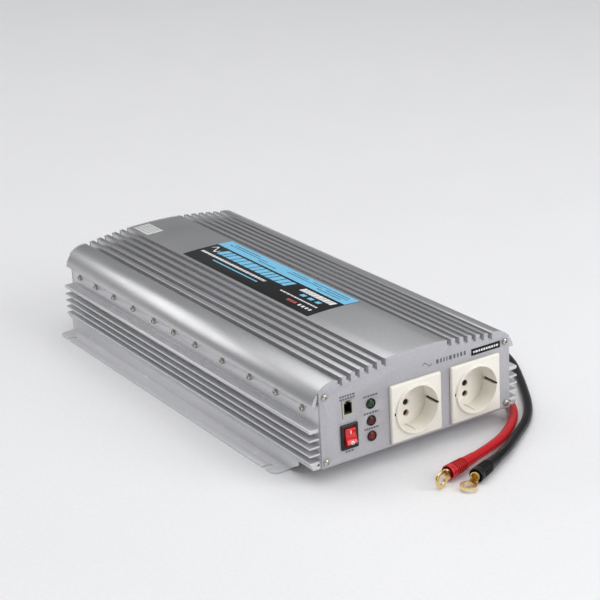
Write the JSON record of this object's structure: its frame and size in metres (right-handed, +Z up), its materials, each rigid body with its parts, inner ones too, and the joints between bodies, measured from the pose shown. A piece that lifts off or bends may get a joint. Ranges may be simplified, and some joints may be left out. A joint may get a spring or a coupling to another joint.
{
  "type": "power inverter",
  "caption": "Finned aluminium box on two slotted rails that turns battery current into mains, with round earthed sockets, a rocker switch, status lamps and battery leads.",
  "frame": {"origin": "on the floor under the middle of the case's bounding box, without the battery leads", "axes": "+X to the right seen from the front panel, +Y from the front panel to the rear panel, +Z up"},
  "size_m": [0.3028, 0.6508, 0.092],
  "materials": {
    "case_aluminium": "satin silver",
    "rail_aluminium": "satin",
    "panel_finish": "fine satin",
    "nickel": "bright",
    "socket_ivory": "semi-gloss",
    "dark_steel": "blackened",
    "terminal_plastic": "matte",
    "contact_brass": "bright",
    "switch_black": "gloss",
    "rocker_red": "gloss, translucent",
    "jack_beige": "satin",
    "lamp_green": "gloss",
    "lamp_dark_red": "gloss",
    "lamp_red": "gloss",
    "bezel_grey": "satin",
    "board_green": "satin",
    "label_print": "satin film",
    "tag_grey": "satin film",
    "fan_black": "matte",
    "guard_steel": "bright wire",
    "gland_black": "satin",
    "cable_red": "satin",
    "cable_black": "satin",
    "boot_red": "satin",
    "boot_black": "satin",
    "gold_plate": "bright",
    "pad_grey": "matte",
    "transistor_black": "matte",
    "standoff_brass": "satin",
    "ferrite": "matte",
    "winding_tape": "satin",
    "capacitor_sleeve": "gloss",
    "fuse_plastic": "translucent",
    "copper": "tinned copper"
  },
  "bodies": {
    "case": {"base_plate": "rail_aluminium", "black_boot": "boot_black", "black_cable": "cable_black", "black_cable_gland": "gland_black", "black_ring_terminal": "gold_plate", "board_standoffs": "standoff_brass", "bus_bars": "copper", "capacitors": "capacitor_sleeve", "earth_nuts": "nickel", "earth_stud": "contact_brass", "fan_frame": "fan_black", "fan_guard": "guard_steel", "fan_screws": "nickel", "front_label": "label_print", "front_panel": "panel_finish", "front_panel_screws": "nickel", "fuses": "fuse_plastic", "gland_nuts": "gland_black", "insulating_pads": "pad_grey", "jack_contacts": "contact_brass", "lamp_bezels": "bezel_grey", "lamp_board": "board_green", "left_clamp_bar": "rail_aluminium", "left_mounting_rail": "rail_aluminium", "left_side_heatsink": "case_aluminium", "left_side_screws": "nickel", "left_socket_body": "socket_ivory", "left_socket_terminal_block": "terminal_plastic", "left_transistors": "transistor_black", "lower_lamp": "lamp_red", "main_board": "board_green", "middle_lamp": "lamp_dark_red", "rail_screws": "nickel", "rear_panel": "panel_finish", "rear_panel_screws": "nickel", "rear_tag": "tag_grey", "red_boot": "boot_red", "red_cable": "cable_red", "red_cable_gland": "gland_black", "red_ring_terminal": "gold_plate", "remote_jack": "jack_beige", "right_clamp_bar": "rail_aluminium", "right_mounting_rail": "rail_aluminium", "right_side_heatsink": "case_aluminium", "right_side_screws": "nickel", "right_socket_body": "socket_ivory", "right_socket_terminal_block": "terminal_plastic", "right_transistors": "transistor_black", "rocker_housing": "switch_black", "socket_centre_screws": "dark_steel", "socket_contacts": "contact_brass", "socket_earth_clips": "dark_steel", "switch_blades": "contact_brass", "top_cover": "case_aluminium", "top_label": "label_print", "transformer_cores": "ferrite", "transformer_windings": "winding_tape", "upper_lamp": "lamp_green"},
    "rocker": {"rocker_button": "rocker_red"},
    "fan": {"fan_rotor": "fan_black"}
  },
  "joints": [
    {"name": "rocker_tilt", "type": "hinge", "parent": "case", "child": "rocker", "pos_m": [-0.06785, -0.22433, 0.0354], "axis": [1, 0, 0], "range_deg": [0, 24]},
    {"name": "fan_spin", "type": "hinge", "parent": "case", "child": "fan", "pos_m": [-0.04, 0.20247, 0.047], "axis": [0, 1, 0], "continuous": true}
  ]
}
